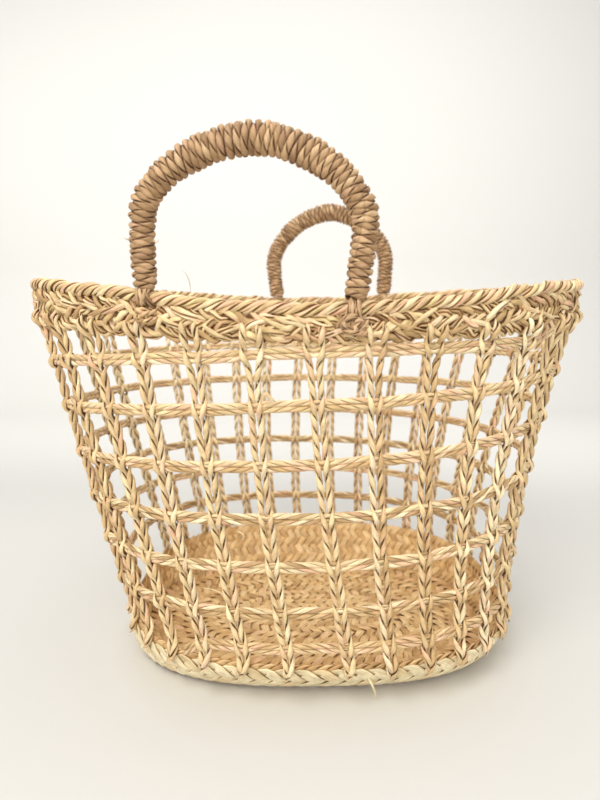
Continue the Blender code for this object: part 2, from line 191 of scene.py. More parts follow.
def tangents(points):
    ahead = np.vstack([points[1:], points[-1:]])
    behind = np.vstack([points[:1], points[:-1]])
    return unit(ahead - behind)


def resample(step, points, *others):
    """The line at even steps, with anything that goes with its points."""
    run = run_of(points)
    even = np.linspace(0.0, run[-1], max(round(run[-1] / step), 2) + 1)
    found = []
    for values in (points, *others):
        values = np.asarray(values, float)
        flat = values.reshape(len(values), -1)
        columns = [np.interp(even, run, column) for column in flat.T]
        found.append(np.array(columns).T.reshape((len(even), *values.shape[1:])))
    return found


def softened(points, width):
    """A line with its corners rounded, ends kept."""
    half = width // 2
    padded = np.vstack([np.repeat(points[:1], half, 0), points, np.repeat(points[-1:], half, 0)])
    kernel = np.hanning(2 * half + 3)[1:-1]
    kernel /= kernel.sum()
    return np.array([np.convolve(column, kernel, "valid") for column in padded.T]).T


def wander(run, amount, length):
    """A slow random drift along a strand."""
    total = np.zeros_like(run)
    for octave in range(3):
        wave = length / (1.7**octave)
        total += np.sin(TURN * (run / wave + rng.random())) / (1.4**octave)
    return total * amount / 1.8


# ---- the wall's surface
def through(values, level):
    low, middle, high = values
    below = low * (1 - level) * (1 - 2 * level)
    above = high * level * (2 * level - 1)
    return below + middle * 4 * level * (1 - level) + above


def superellipse(half_x, half_y, power, angle):
    c, s = np.cos(angle), np.sin(angle)
    x = half_x * np.sign(c) * np.abs(c) ** (2 / power)
    return x, half_y * np.sign(s) * np.abs(s) ** (2 / power)


def wall_point(angle, level):
    power = ROUNDNESS[0] + (ROUNDNESS[1] - ROUNDNESS[0]) * level
    x, y = superellipse(through(HALF_WIDTH, level), through(HALF_DEPTH, level), power, angle)
    upper = np.maximum(level, 0.0) ** 1.5
    front = np.maximum(-np.sin(angle), 0.0) ** 2
    back = np.maximum(np.sin(angle), 0.0) ** 2
    z = TRAY_TOP + WALL * level - FRONT_SAG * upper * front + BACK_RISE * upper * back
    return np.stack([x + through(SHIFT_X, level), y + through(SHIFT_Y, level), z], axis=-1)


def wall_frame(angle, level):
    """Points, and unit vectors outwards, along the ring and up the wall."""
    step = 0.004
    along = unit(wall_point(angle + step, level) - wall_point(angle - step, level))
    up = wall_point(angle, level + step) - wall_point(angle, level - step)
    out = unit(np.cross(along, up))
    return wall_point(angle, level), out, along, np.cross(out, along)


def ring_angles(count, start, level):
    """Angles that divide the ring at this level into equal lengths."""
    angles = np.linspace(start, start + TURN, 2881)
    run = run_of(wall_point(angles, np.full_like(angles, level)))
    return np.interp(np.arange(count) / count * run[-1], run, angles)


def ring_shares(points):
    """The ring's length, and shares of it at points that go twice round, counted from the middle one."""
    run = run_of(points)
    middle = len(points) // 2
    length = run[-1] - run[middle]
    return length, (run - run[middle]) / length


def weft_level(turned):
    quarters = zip(WEFT_RIGHT_LEVELS, WEFT_FRONT_LEVELS, WEFT_LEFT_LEVELS, WEFT_BACK_LEVELS)
    levels = [level for row in quarters for level in row]
    marks = [math.pi / 2 * i for i in range(len(levels))]
    return np.minimum(np.interp(turned, marks, levels), WEFT_TOP_LIMIT)


def stake_angle(top, level):
    return top + TWIST * (1 - level)


def crossings(tops):
    """Every meeting of the weft and a stake, from the top, as (weft turn, stake, level)."""
    met = []
    laps = len(WEFT_FRONT_LEVELS)
    for stake, top in enumerate(tops):
        for lap in range(laps + 3):
            level = 0.5
            for _ in range(12):
                turned = TURN * lap - stake_angle(top, level)
                level = float(weft_level(turned))
            if level > WEFT_LOW_LIMIT and WEFT_START <= turned <= TURN * laps:
                met.append((turned, stake, level))
    return sorted(met)


def tray_point(angle, height, offset):
    """A point of the turned-up tray wall: height 0 at the floor, 1 at its upper edge."""
    x, y = superellipse(
        FLOOR_HALF_WIDTH + TRAY_FOOT_OUT, FLOOR_HALF_DEPTH + TRAY_FOOT_OUT, FLOOR_ROUNDNESS, angle
    )
    low = np.stack([x, y, np.zeros_like(x)], axis=-1)
    edge = wall_point(angle, np.zeros_like(angle))
    height = np.broadcast_to(height, angle.shape)[..., None]
    out = edge / np.array([HALF_WIDTH[0] ** 2, HALF_DEPTH[0] ** 2, 1.0]) * np.array([1.0, 1.0, 0.0])
    offset = np.broadcast_to(offset, angle.shape)[..., None]
    return low * (1 - height) + edge * height + unit(out) * (TRAY_BULGE * np.sin(math.pi * height) + offset)


def rim_height(angle):
    across = np.abs(np.sin(angle)) ** RIM_HEIGHT_POWER
    middle = np.where(np.sin(angle) < 0, RIM_HEIGHT_FRONT, RIM_HEIGHT_BACK)
    return RIM_HEIGHT_END + (middle - RIM_HEIGHT_END) * across


def rim_place(angle, across, high):
    """Points of the rim, and the way out.

    across is measured outwards from the rim's leaning centre plane, and high from its foot.
    """
    point, _, along, _ = wall_frame(angle, np.ones_like(angle))
    out = unit(np.stack([along[..., 1], -along[..., 0], np.zeros_like(angle)], axis=-1))
    high = np.broadcast_to(high, angle.shape)[..., None]
    across = np.broadcast_to(across, angle.shape)[..., None]
    return point + out * (RIM_OFFSET + RIM_FLARE * high + across) + high * UP, out


def rope_centre(angle):
    return rim_place(angle, 0.0, rim_height(angle) - ROPE_RADIUS)[0]


def rim_pace(angle):
    """Length of rim per radian at an angle."""
    pair = rope_centre(np.array([angle - 0.01, angle + 0.01]))
    return np.linalg.norm(pair[1] - pair[0]) / 0.02


def band_top(angle):
    """Height of the rope's underside at one angle."""
    return float(rim_height(np.array([angle]))[0]) - 2 * ROPE_RADIUS


# ---- swept strands
def add_object(name, data):
    made = bpy.data.objects.new(name, data)
    bpy.context.scene.collection.objects.link(made)
    return made


def sweep(
    points, face, wide, thick, corners=10, square=1.0, ridge=0.05, twist=260.0, taper=0.004, shade=None,
    tuck=1.0, flat=False,
):
    """One strand: a closed tube along points whose flat side faces face, with pointed ends and fibre ridges.

    square below 1 makes the section boxy.  The tuck shade darkens the stretches that run under other strands
    with painted shade.  Painted shade also makes a flat strand darkest along its edges, and a round one on
    the side that faces away.
    """
    run = run_of(points)
    forward = tangents(points)
    side = unit(np.cross(face, forward))
    face = np.cross(forward, side)
    turn = TURN * np.arange(corners) / corners
    c, s = np.cos(turn), np.sin(turn)
    c, s = np.sign(c) * np.abs(c) ** square, np.sign(s) * np.abs(s) ** square
    start, other = rng.random(2) * TURN
    roll = twist * run[:, None]
    groove = 1 + ridge * np.cos(3 * turn + roll + start)
    groove = groove + 0.6 * ridge * np.cos(5 * turn - 0.7 * roll + other)
    near_end = np.minimum(run, run[-1] - run) / max(taper, 1e-5)
    groove = groove * (0.12 + 0.88 * np.sin(np.clip(near_end, 0, 1) * math.pi / 2))[:, None]
    across = np.broadcast_to(wide, run.shape)[:, None] * c * groove
    above = np.broadcast_to(thick, run.shape)[:, None] * s * groove
    found = points[:, None] + side[:, None] * across[..., None] + face[:, None] * above[..., None]
    lengthwise = np.broadcast_to(run[:, None] + 3.0 * rng.random(), across.shape)
    # Painted shade: a flat strand darkens along its edges, a round one on the side that faces away.
    crease = 1 - 0.9 * np.abs(c) ** 14 if flat else np.clip(0.55 + 0.6 * s, 0, 1)
    return {
        "points": found.reshape(-1, 3),
        "stations": len(points),
        "corners": corners,
        "grain": np.stack([lengthwise, across, above], axis=-1).reshape(-1, 3),
        "strand": rng.random() if shade is None else shade,
        "crease": (crease[None] * np.broadcast_to(tuck, run.shape)[:, None]).ravel(),
    }


def cord(path, out, phase, ply, orbit, reach=None, plies=2, plump=0.0, **options):
    """A cord of a few plies turning round its path.

    reach is how far out a ply stands when it is in front; plump swells it there.
    """
    forward = tangents(path)
    along = unit(np.cross(out, forward))
    out = np.cross(forward, along)
    reach = orbit if reach is None else reach
    run = run_of(path)
    strands = []
    for start in np.arange(plies) * TURN / plies:
        turn = (phase + start)[:, None]
        radial = unit(out * np.cos(turn) + along * np.sin(turn))
        place = path + out * (np.cos(turn) * np.reshape(reach, (-1, 1))) + along * (np.sin(turn) * orbit)
        swell = 1 + wander(run, 0.1, 0.05) + plump * np.cos(2 * turn[:, 0])
        strands.append(sweep(place, radial, ply[0] * swell, ply[1] * swell, **options))
    return strands


def make_piece(name, strands, body, nodes, look):
    """One mesh from many strands.  Its bake map gives each stretch of a strand its own cell of a grid."""
    points = np.vstack([s["points"] for s in strands])
    grain = np.vstack([s["grain"] for s in strands])
    crease = np.concatenate([s["crease"] for s in strands])
    shade = np.concatenate([np.full(len(s["points"]), s["strand"]) for s in strands])
    quads, caps, spots = [], [], []
    first = 0
    for s in strands:
        n, k = s["stations"], s["corners"]
        i = np.arange(n - 1)[:, None] * k
        j = np.arange(k)[None]
        around = (j + 1) % k
        ring = np.stack([i + j, i + around, i + k + around, i + k + j], axis=-1)
        quads.append((ring + first).reshape(-1, 4))
        spot = np.broadcast_arrays(np.arange(n - 1)[:, None], j / k, 1 / k)
        spots.append(np.stack(spot, axis=-1).reshape(-1, 3))
        caps.append((np.arange(k)[::-1] + first, np.arange(k) + first + (n - 1) * k))
        first += n * k
    lengths = [s["stations"] - 1 for s in strands]
    starts = np.concatenate([[0], np.cumsum(lengths)[:-1]])
    per_row = max(math.ceil(math.sqrt(sum(lengths) * 1.6)), 1)
    rows = math.ceil((sum(lengths) + 1) / per_row)
    uvs = []
    for spot, start in zip(spots, starts):
        cell = spot[:, 0] + start
        column, row = cell % per_row, cell // per_row
        left, right = column / per_row, (column + 1) / per_row
        low = (row + 0.06 + 0.88 * spot[:, 1]) / rows
        high = low + 0.88 * spot[:, 2] / rows
        corner = [(left, low), (left, high), (right, high), (right, low)]
        uvs.append(np.stack([np.stack(pair, axis=-1) for pair in corner], axis=1).reshape(-1, 2))
    cap_loops = [c for pair in caps for c in pair]
    cap_uv = [np.full((len(c), 2), 0.5 / per_row) for c in cap_loops]
    loops = np.concatenate([np.vstack(quads).ravel(), *cap_loops]).astype(np.int32)
    uv = np.vstack([*uvs, *cap_uv]).astype(np.float32)
    quad_count = sum(len(q) for q in quads)
    totals = np.concatenate([np.full(quad_count, 4), [len(c) for c in cap_loops]])
    mesh = bpy.data.meshes.new(name)
    mesh.vertices.add(len(points))
    mesh.vertices.foreach_set("co", points.astype(np.float32).ravel())
    mesh.loops.add(len(loops))
    mesh.loops.foreach_set("vertex_index", loops)
    mesh.polygons.add(len(totals))
    mesh.polygons.foreach_set("loop_start", np.concatenate([[0], np.cumsum(totals)[:-1]]).astype(np.int32))
    mesh.update(calc_edges=True)
    mesh.uv_layers.new(name="OFBake").data.foreach_set("uv", uv.ravel())
    grain_layer = mesh.attributes.new("grain", "FLOAT_VECTOR", "POINT")
    grain_layer.data.foreach_set("vector", grain.astype(np.float32).ravel())
    for layer, values in (("strand", shade), ("crease", crease)):
        mesh.attributes.new(layer, "FLOAT", "POINT").data.foreach_set("value", values.astype(np.float32))
    mesh.shade_smooth()
    mesh.materials.append(look)
    made = add_object(name, mesh)
    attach(made, body)
    if nodes:
        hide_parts(*nodes)


# ---- materials
def palm_leaf(name, shades, tint, crease_shade_colour, roughness, crease_shade_stops=(0.26, 0.62)):
    """Dried palm leaf: a shade per strand, slow patches of tint, fine streaks along the fibre, painted shade
    in the creases.

    The two crease stops are the crease shade values where the painted shade ends and the full colour begins.
    """
    look = bpy.data.materials.new(name)
    look.use_nodes = True
    tree = look.node_tree
    new, link = tree.nodes.new, tree.links.new
    shader = tree.nodes["Principled BSDF"]

    def attribute(which, output):
        node = new("ShaderNodeAttribute")
        node.attribute_name = which
        return node.outputs[output]

    def noise(scales, detail, roughness_of_noise=0.55):
        place = new("ShaderNodeVectorMath")
        place.operation = "MULTIPLY"
        link(attribute("grain", "Vector"), place.inputs[0])
        place.inputs[1].default_value = scales
        texture = new("ShaderNodeTexNoise")
        texture.inputs["Scale"].default_value = 1.0
        texture.inputs["Detail"].default_value = detail
        texture.inputs["Roughness"].default_value = roughness_of_noise
        link(place.outputs[0], texture.inputs["Vector"])
        return texture.outputs["Fac"]

    def ramp(value, stops):
        node = new("ShaderNodeValToRGB")
        while len(node.color_ramp.elements) < len(stops):
            node.color_ramp.elements.new(0.5)
        for element, (position, colour) in zip(node.color_ramp.elements, stops):
            element.position = position
            element.color = (*colour, 1.0)
        link(value, node.inputs["Fac"])
        return node.outputs["Color"]

    def mix(kind, amount, first, second):
        node = new("ShaderNodeMix")
        node.data_type = "RGBA"
        node.blend_type = kind
        if isinstance(amount, float):
            node.inputs["Factor"].default_value = amount
        else:
            link(amount, node.inputs["Factor"])
        for socket, value in (("A", first), ("B", second)):
            target = [s for s in node.inputs if s.name == socket and s.type == "RGBA"][0]
            if isinstance(value, tuple):
                target.default_value = (*value, 1.0)
            else:
                link(value, target)
        return [s for s in node.outputs if s.type == "RGBA"][0]

    def grey(low, high, start=0.0, end=1.0):
        return ((start, (low,) * 3), (end, (high,) * 3))

    base = ramp(attribute("strand", "Fac"), shades)
    patches = ramp(noise((34.0, 160.0, 160.0), 3.0), grey(0.0, 1.0, 0.52, 0.74))
    base = mix("MIX", patches, base, tint)
    slow = ramp(noise((70.0, 90.0, 90.0), 2.0), ((0.28, (0.7, 0.64, 0.56)), (0.7, (1.14, 1.14, 1.12))))
    base = mix("MULTIPLY", 1.0, base, slow)
    streaks = noise((110.0, 3600.0, 3600.0), 4.0, 0.65)
    fine = ramp(streaks, ((0.3, (0.58, 0.5, 0.4)), (0.58, (1.12, 1.11, 1.07))))
    base = mix("MULTIPLY", 1.0, base, fine)
    # Painted shade: where the crease shade is low, the colour is multiplied by the crease shade colour.
    crease = ramp(attribute("crease", "Fac"), grey(0.0, 1.0, *crease_shade_stops))
    base = mix("MIX", crease, mix("MULTIPLY", 1.0, base, crease_shade_colour), base)
    link(base, shader.inputs["Base Color"])
    dull = ramp(noise((80.0, 900.0, 900.0), 2.0), grey(roughness - 0.14, roughness + 0.16))
    link(dull, shader.inputs["Roughness"])
    shader.inputs["Specular IOR Level"].default_value = 0.42
    shader.inputs["Sheen Weight"].default_value = 0.06
    bump = new("ShaderNodeBump")
    bump.inputs["Strength"].default_value = 0.55
    bump.inputs["Distance"].default_value = 0.00022
    link(streaks, bump.inputs["Height"])
    link(bump.outputs["Normal"], shader.inputs["Normal"])
    return look


STRAW = (
    (0.0, (0.45, 0.3, 0.145)),
    (0.16, (0.64, 0.455, 0.235)),
    (0.38, (0.785, 0.61, 0.36)),
    (0.6, (0.87, 0.725, 0.46)),
    (0.8, (0.96, 0.87, 0.64)),
    (0.91, (0.84, 0.58, 0.4)),
    (1.0, (0.8, 0.7, 0.37)),
)
WARM_STRAW = (
    (0.0, (0.56, 0.345, 0.145)),
    (0.3, (0.72, 0.48, 0.225)),
    (0.6, (0.82, 0.58, 0.29)),
    (0.85, (0.88, 0.67, 0.375)),
    (1.0, (0.82, 0.55, 0.32)),
)
CREAM = (
    (0.0, (0.88, 0.73, 0.45)),
    (0.5, (0.97, 0.88, 0.61)),
    (1.0, (1.0, 0.94, 0.71)),
)
BROWN = (
    (0.0, (0.35, 0.215, 0.11)),
    (0.3, (0.5, 0.33, 0.185)),
    (0.6, (0.61, 0.425, 0.255)),
    (0.85, (0.7, 0.525, 0.335)),
    (1.0, (0.56, 0.36, 0.23)),
)
SANDY_BROWN = (
    (0.0, (0.48, 0.305, 0.155)),
    (0.5, (0.68, 0.48, 0.26)),
    (1.0, (0.8, 0.6, 0.35)),
)
PINK = (0.88, 0.56, 0.41)
# Painted crease shade colours: the third colour of each look below darkens its creases and tucks.
STRAW_CREASE_SHADE = (0.17, 0.1, 0.05)
stake_look = palm_leaf("stake_palm", STRAW, PINK, STRAW_CREASE_SHADE, 0.54, crease_shade_stops=(0.14, 0.48))
weft_look = palm_leaf("weft_palm", STRAW, PINK, STRAW_CREASE_SHADE, 0.56, crease_shade_stops=(0.22, 0.56))
rim_look = palm_leaf("rim_palm", STRAW, PINK, (0.34, 0.22, 0.11), 0.58)
base_look = palm_leaf("base_palm", WARM_STRAW, (0.9, 0.7, 0.42), (0.36, 0.22, 0.11), 0.54)
edge_look = palm_leaf("edge_palm", CREAM, (0.93, 0.72, 0.48), (0.38, 0.25, 0.12), 0.52)
wrap_look = palm_leaf("wrap_palm", BROWN, (0.66, 0.43, 0.3), (0.22, 0.13, 0.06), 0.6)
lashing_look = palm_leaf("lashing_palm", SANDY_BROWN, PINK, (0.2, 0.12, 0.07), 0.6)


# ---- stakes
def stake_line(top):
    """The middle line of a stake from over the rim's lowest row to its foot.

    Also the ways out and along, and the wall's levels with their distances down the line.
    """
    levels = np.linspace(1 + STAKE_RIM_REACH / WALL, STAKE_START / WALL, 260)
    points, out, along, _ = wall_frame(stake_angle(top, levels), levels)
    above_rim = (levels - 1) * WALL
    heights = (-0.0065, 0.0, 0.0035, 0.0075, STAKE_RIM_REACH)
    offset = np.interp(above_rim, heights, (0.0, 0.0026, 0.0045, 0.0046, 0.0006))
    points = points + out * offset[:, None]
    heights = np.linspace(1.0, 1.0 - STAKE_FOOT_REACH, 24)
    turned = np.full_like(heights, stake_angle(top, 0.0))
    foot = tray_point(turned, heights, TRAY_THICKNESS / 2 + 0.0021)
    line = np.vstack([points, foot])
    lateral = np.vstack([along, np.repeat(along[-1:], len(foot), 0)])
    marks = run_of(line)[: len(levels)]
    line, lateral = resample(0.0005, line, lateral)
    line = softened(line, 15)
    line, lateral = resample(STAKE_STEP, line, lateral)
    forward = tangents(line)
    out = unit(np.cross(forward, lateral))
    return line, out, np.cross(out, forward), levels, marks


def lay_phase(run, marks, lay):
    """Turn of the first ply: a whole number of half turns between marks, so one ply is in front at each."""
    gaps = [max(1, round((b - a) / lay)) for a, b in zip(marks[:-1], marks[1:])]
    turns = np.concatenate([[0.0], np.cumsum(gaps)])
    before = turns[0] - (marks[0] - run[0]) / lay
    after = turns[-1] + (run[-1] - marks[-1]) / lay
    t = np.interp(run, [run[0], *marks, run[-1]], [before, *turns, after])
    return math.pi * (t - 0.22 * np.sin(TURN * t) / TURN)


def build_stake(number, top, met_levels):
    line, out, along, levels, marks = stake_line(top)
    run = run_of(line)
    met = sorted(float(np.interp(-level, -levels, marks)) for level in met_levels)
    parting = WEFT_HALF_THICKNESS + STAKE_PLY[1] - 0.0002
    bump = sum(np.exp(-(((run - place) / STAKE_PARTING) ** 4)) for place in met)
    reach = STAKE_ORBIT + (parting - STAKE_ORBIT) * np.clip(bump, 0, 1)
    joined = np.clip((run - met[0] + 0.001) / 0.0125, 0, 1)
    joined = joined * joined * (3 - 2 * joined)
    top_apart = STAKE_TOP_APART * (1 + 0.12 * rng.normal())
    apart = top_apart + (STAKE_CORD_APART - top_apart) * joined + wander(run, 0.00025, 0.06)
    foot = np.clip((run - run[-1] + STAKE_FOOT_LENGTH) / STAKE_FOOT_LENGTH, 0, 1) ** 1.3
    strands = []
    for side in (-1, 1):
        drift = wander(run, 0.0004, 0.06)
        # At the foot one cord crosses over the other.
        place = side * apart * (1 - foot) + foot * (-0.0012 if side < 0 else -0.0016)
        proud = wander(run, 0.0003, 0.05) + foot * (0.0 if side < 0 else 0.0021)
        path = line + along * (place + drift)[:, None] + out * proud[:, None]
        shade = rng.random()
        # Each cord has its own lay, so the two don't mirror each other all the way down.
        turn = -side * lay_phase(run, met, STAKE_LAY * rng.uniform(0.84, 1.18))
        plies = cord(
            path, out, turn, STAKE_PLY, STAKE_ORBIT, reach, plump=0.2, corners=12, ridge=0.055, taper=0.006
        )
        for ply in plies:
            ply["strand"] = float(np.clip(0.45 * shade + 0.55 * rng.random(), 0, 1))
        strands += plies
    node = f"stake_{number:02d}"
    make_piece(f"{node}_cords", strands, "basket", [node], stake_look)


# ---- weft
def build_weft(met):
    """Two cords, one above the other, each of three plies, wound down the basket; one piece per lap."""
    first, last = met[0][0], met[-1][0]
    lead, tail = 0.1 * math.pi, 0.045 * math.pi
    turned = np.arange(first - lead, last + tail, 0.002)
    level = softened(weft_level(turned)[:, None], 200)[:, 0]
    # The weft starts behind the rim and ends behind the tray's edge.
    rise = np.clip((first - 0.02 * math.pi - turned) / (0.08 * math.pi), 0, 1)
    drop = np.clip((turned - last) / tail, 0, 1)
    level = level + 0.06 * rise - 0.05 * drop
    points, out, _, up = wall_frame(-turned, level)
    points, out, up, turned = resample(WEFT_STEP, points, out, up, turned)
    run = run_of(points)
    marks = np.interp([m[0] for m in met], turned, run)
    signs = np.array([1 if (i + i // STAKES) % 2 else -1 for i in range(len(marks) + 1)])
    # The lay changes hand behind every stake, so neighbouring cells lean opposite ways.
    turns = [0.0]
    for i, (a, b) in enumerate(zip(marks[:-1], marks[1:])):
        turns.append(turns[-1] + signs[i] * (b - a) / WEFT_LAY)
    before = turns[0] - marks[0] / WEFT_LAY
    after = turns[-1] + (run[-1] - marks[-1]) / WEFT_LAY
    phase = math.pi * np.interp(run, [run[0], *marks, run[-1]], [before, *turns, after]) + math.pi / 2
    laps = np.floor((turned - turned[0]) / TURN).astype(int)
    drifts = [(wander(run, 0.0004, 0.09), wander(run, 0.0003, 0.07)) for _ in range(2)]
    pinch = sum(np.exp(-(((run - place) / WEFT_PINCH) ** 2)) for place in marks)
    for lap in range(laps.max() + 1):
        chosen = np.flatnonzero(laps == lap)
        if lap < laps.max():
            chosen = np.append(chosen, chosen[-1] + 1)
        strands = []
        for side, (rise_drift, out_drift) in zip((-1, 1), drifts):
            path = points + up * (side * (WEFT_CORD_APART - 0.0005 * pinch) + rise_drift)[:, None]
            path = (path + out * out_drift[:, None])[chosen]
            reach = WEFT_ORBIT * (1 - 0.35 * np.clip(pinch, 0, 1))[chosen]
            strands += cord(
                path, out[chosen], side * 0.9 + phase[chosen], WEFT_PLY, WEFT_ORBIT, reach, plies=WEFT_PLIES,
                plump=0.08, ridge=0.06, taper=0.0004,
            )
        make_piece(f"weft_lap_{lap + 1}", strands, "basket", ["weft_double_cord"], weft_look)


# ---- plaits
def plait_paths(surface, pitches, strands, rows, amplitude, margin, step_angle, mirrored=False):
    """The paths of a flat plait's strands round a closed band, with the way out and the painted tuck shade
    at each point.

    surface(share round the ring, share up the band) gives points and the way out.  Each strand goes up and
    down across the band; on every other row it passes over, on the rest under.
    """
    rounding = 0.985  # below 1, so that strands turn back at the band's edges in a curve
    x = np.linspace(0.0, 1.0, int(pitches / strands * TURN / step_angle) + 1)
    found = []
    for j in range(strands):
        phase = (x * pitches - j) / strands
        swing = rounding * np.cos(TURN * phase)
        height = 0.5 - 0.5 * np.arcsin(swing) / math.asin(rounding)
        rising = np.tanh(6 * np.sin(TURN * phase))
        weave = np.sin(rows * math.pi * height)
        over = np.tanh(2.0 * weave) / math.tanh(2.0)
        edge = np.clip((np.abs(2 * height - 1) - 1) * rows / 1.2 + 1, 0, 1)
        # Painted shade where a strand passes under its neighbours, none close to the band's edges.
        tuck = np.clip(np.maximum(np.abs(weave) * 1.5, edge), 0, 1)
        share = -x if mirrored else x
        points, out = surface(share, margin + (1 - 2 * margin) * height)
        found.append((points - out * (rising * over * amplitude)[:, None], out, tuck))
    return found


def build_rope():
    """The rim's top row: two-ply strands laid round a filler darkened with painted shade."""
    angles = np.linspace(RING_START, RING_START + TURN, 3001)
    centre = rope_centre(angles)
    centre, angles = resample(ROPE_STEP, centre, angles)
    run = run_of(centre)
    _, out = rim_place(angles, 0.0, 0.0)
    forward = tangents(centre)
    up = unit(np.cross(out, forward)) * -1
    up = np.where(up[:, 2:] < 0, -up, up)
    turns = round(run[-1] / ROPE_LAY)
    # Painted shade: the darkest strand shade and a low tuck shade make the filler show dark between the
    # strands.
    shade_filler = sweep(
        centre, out, ROPE_SHADE_FILLER, ROPE_SHADE_FILLER, corners=8, ridge=0.0, taper=0.0004, shade=0.1, tuck=0.3
    )
    strands = [shade_filler]
    centre = centre + up * wander(run, 0.0007, 0.09)[:, None]
    for k in range(ROPE_STRANDS):
        turn = TURN * (turns * run / run[-1] + k / ROPE_STRANDS)
        turn = (turn + 0.3 * np.sin(TURN * run / run[-1] * 9 + k))[:, None]
        radial = out * np.cos(turn) + up * np.sin(turn)
        squash = 1 + wander(run, 0.22, 0.05)[:, None]
        path = centre + radial * ROPE_ORBIT * squash
        lay = math.pi * run / RIM_LAY + 5 * rng.random() + wander(run, 0.5, 0.06)
        ply = np.array(RIM_PLY) * rng.uniform(0.86, 1.16)
        strands += cord(path, radial, lay, ply, ROPE_PLY_ORBIT, plump=0.1, corners=8, taper=0.0004)
    make_piece("rim_upper_rope", strands, "basket", ["rim_upper_plait"], rim_look)


def notch(angles, feet):
    """How far the band dips at each foot to let a handle's loop pass under the rope."""
    depth = np.zeros_like(angles)
    centres = rope_centre(angles)
    for foot in feet:
        away = np.linalg.norm(centres - foot, axis=1)
        share = np.clip((NOTCH_HALF + 2 * NOTCH_RAMP - away) / (2 * NOTCH_RAMP), 0, 1)
        depth = np.maximum(depth, NOTCH_DEPTH * share)
    return depth


def build_band(feet):
    """The rim's rows under the rope: a plait of two-ply cords, with fillers of painted shade behind its
    holes.
    """
    table = np.linspace(RING_START - TURN, RING_START + TURN, 4001)
    length, table_share = ring_shares(wall_point(table, np.ones_like(table)))

    def surface(share, height):
        angles = np.interp(share, table_share, table)
        top = rim_height(angles) - 2 * ROPE_RADIUS - notch(angles, feet) + BAND_UNDER_ROPE
        bulge = 0.0006 * np.sin(math.pi * height)
        return rim_place(angles, bulge, BAND_FOOT + (top - BAND_FOOT) * height)

    pitches = round(length / BAND_PITCH)
    strands = []
    for path, out, tuck in plait_paths(surface, pitches, BAND_STRANDS, BAND_ROWS, BAND_AMPLITUDE, 0.02, 0.3):
        path, out, tuck = resample(BAND_STEP, path, out, tuck)
        run = run_of(path)
        path = path + out * wander(run, 0.0009, 0.03)[:, None]
        path[:, 2] += wander(run, 0.0018, 0.03)
        lay = math.pi * run / RIM_LAY + 5 * rng.random() + wander(run, 0.6, 0.05)
        # Painted shade, at most half, where a cord passes under.
        tuck = 0.5 + 0.5 * tuck
        ply = np.array(RIM_PLY) * rng.uniform(0.84, 1.24)
        strands += cord(path, out, lay, ply, BAND_PLY_ORBIT, plump=0.1, corners=8, taper=0.0004, tuck=tuck)
    x = np.linspace(0.0, 1.0, 420)
    # Painted shade: dark bands behind the plait's holes, where there is only shadow.
    for height in BAND_SHADE_FILLER_HEIGHTS:
        path, out = surface(x, np.full_like(x, height))
        shade_filler = sweep(path, out, *BAND_SHADE_FILLER, corners=6, ridge=0.0, taper=0.0004, shade=0.1, tuck=0.1)
        strands.append(shade_filler)
    nodes = ["rim_middle_plait", "rim_lower_plait"]
    make_piece("rim_lower_band", strands, "basket", nodes, rim_look)


def flat_plait(
    name, surface, length, pitch, count, rows, amplitude, nodes,
    margin=0.0, fill=0.82, thick=0.00055, mirrored=False, look=base_look,
):
    """A closed band plaited from flat strips; fill is a strip's width as a share of the pitch."""
    pitches = round(length / pitch)
    strands = []
    for path, out, tuck in plait_paths(surface, pitches, count, rows, amplitude, margin, 0.26, mirrored):
        path, out, tuck = resample(FLAT_STEP, path, out, tuck)
        run = run_of(path)
        wide = 0.5 * pitch * fill * (1 + wander(run, 0.06, 0.1))
        # Painted shade, at most about half, where a strip passes under.
        tuck = 0.52 + 0.48 * tuck
        strip = sweep(
            path, out, wide, thick, square=0.62, ridge=0.03, twist=12.0, taper=0.0004, tuck=tuck, flat=True
        )
        strands.append(strip)
    make_piece(name, strands, "basket", nodes, look)


def floor_ring(angle, inset):
    """The floor's outline moved inwards."""
    half_y = np.maximum(FLOOR_HALF_DEPTH - inset, 0.0006)
    x, y = superellipse(FLOOR_HALF_WIDTH - inset, half_y, FLOOR_ROUNDNESS, angle)
    return np.stack([x, y, np.full_like(x, FLOOR_THICKNESS / 2)], axis=-1)


def build_base():
    """The tray wall with its pale lower edge, and the floor as rings of plait one inside the other."""
    table = np.linspace(-TURN, TURN, 4001) + RING_START
    tray_length, tray_share = ring_shares(wall_point(table, np.zeros_like(table)))

    def tray(low, high, proud):
        def surface(share, height):
            angles = np.interp(share, tray_share, table)
            height = low + (high - low) * height
            point = tray_point(angles, height, proud)
            around = tray_point(angles + 0.01, height, 0.0) - tray_point(angles - 0.01, height, 0.0)
            rise = tray_point(angles, height + 0.02, 0.0) - tray_point(angles, height - 0.02, 0.0)
            return point, unit(np.cross(around, rise))

        return surface

    def floor(ring_share, outer, inner):
        def surface(share, height):
            angles = np.interp(share, ring_share, table)
            point = floor_ring(angles, inner + (outer - inner) * height)
            return point, np.broadcast_to(UP, point.shape)

        return surface

    wall = ["tray_wall_plait"]
    flat_plait(
        "tray_wall_strips", tray(0.08, 1.02, -0.0006), tray_length, TRAY_STRIP_PITCH, 8, 5, 0.001, wall,
        mirrored=True,
    )
    flat_plait(
        "tray_edge_strips", tray(0.12, 0.86, 0.0014), tray_length, TRAY_EDGE_PITCH, 4, 2, 0.0008, wall,
        fill=0.86, thick=0.00065, mirrored=True, look=edge_look,
    )
    for name, outer, inner, node in FLOOR_BANDS:
        ring_length, ring_share = ring_shares(floor_ring(table, np.full_like(table, (outer + inner) / 2)))
        flat_plait(
            name, floor(ring_share, outer, inner), ring_length, FLOOR_STRIP_PITCH, 6, 3, 0.0013, [node],
            margin=0.015, thick=0.0007,
        )


